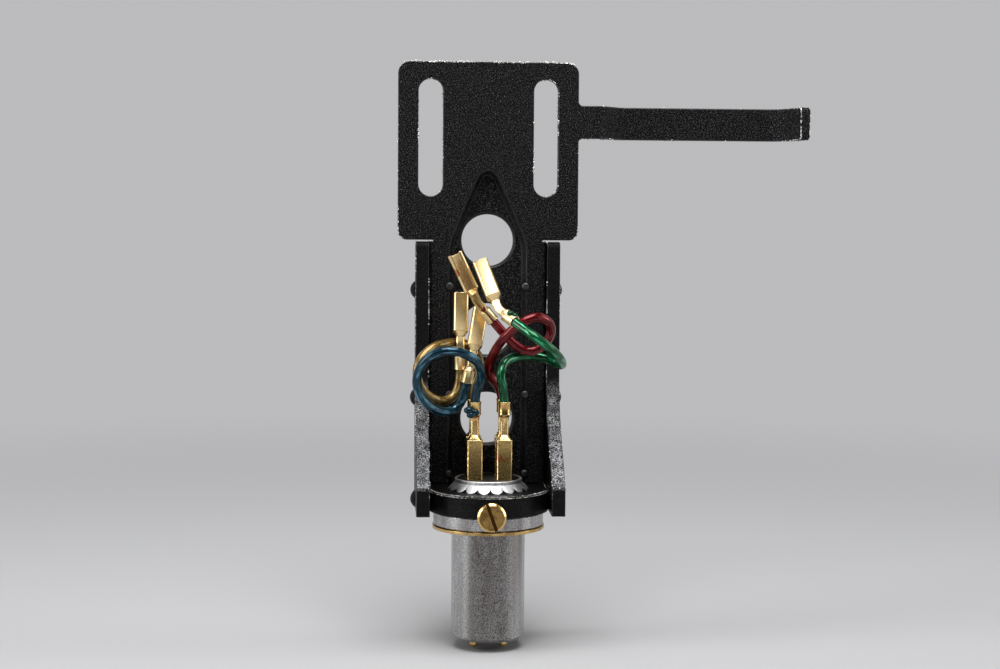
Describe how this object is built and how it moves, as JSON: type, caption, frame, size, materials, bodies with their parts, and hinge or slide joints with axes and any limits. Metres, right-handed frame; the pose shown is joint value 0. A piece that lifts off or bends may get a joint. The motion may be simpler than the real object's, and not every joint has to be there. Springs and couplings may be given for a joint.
{
  "type": "turntable headshell",
  "caption": "Turntable headshell with slotted cartridge plate, bent finger lift, side rails, bayonet plug and colour-coded leads with crimped clips.",
  "frame": {"origin": "on the plug axis at the plug's seat, the underside of the washer", "axes": "+Z along the plug axis from the plug towards the head; -Y is the side the cartridge is screwed on; +X is the finger lift's side"},
  "size_m": [0.0454, 0.0163, 0.0636],
  "materials": {
    "plate_black": "fine speckled black paint, bright where it is worn",
    "rail_black": "satin black with worn bright edges",
    "aluminium": "satin turned aluminium",
    "insulator": "dull black",
    "brass": "plain brass, a little dull",
    "gold_plate": "glossy gold plating with a little tarnish",
    "steel": "plain bright steel",
    "lead_green": "glossy green insulation",
    "lead_red": "glossy dark red insulation",
    "lead_blue": "glossy teal blue insulation",
    "lead_gold": "glossy amber insulation"
  },
  "bodies": {
    "root": {"cartridge_plate": "plate_black", "left_rail": "rail_black", "right_rail": "rail_black", "collar": "rail_black", "plug_barrel": "aluminium", "plug_core": "insulator", "locating_pin": "steel", "seat_washer": "brass", "toothed_ring": "aluminium", "clamp_screw": "brass", "left_upper_rivet": "rail_black", "left_middle_rivet": "rail_black", "left_lower_rivet": "rail_black", "right_upper_rivet": "rail_black", "right_middle_rivet": "rail_black", "right_lower_rivet": "rail_black", "left_edge_pin_1": "steel", "left_edge_pin_2": "steel", "left_edge_pin_3": "steel", "right_edge_pin_1": "steel", "right_edge_pin_2": "steel", "right_edge_pin_3": "steel", "contact_green": "gold_plate", "contact_red": "gold_plate", "contact_blue": "gold_plate", "contact_gold": "gold_plate", "contact_clip_green": "gold_plate", "contact_clip_red": "gold_plate", "contact_clip_blue": "gold_plate", "contact_clip_gold": "gold_plate", "cartridge_clip_green": "gold_plate", "cartridge_clip_red": "gold_plate", "cartridge_clip_blue": "gold_plate", "cartridge_clip_gold": "gold_plate", "lead_green": "lead_green", "lead_red": "lead_red", "lead_blue": "lead_blue", "lead_gold": "lead_gold"}
  },
  "joints": []
}
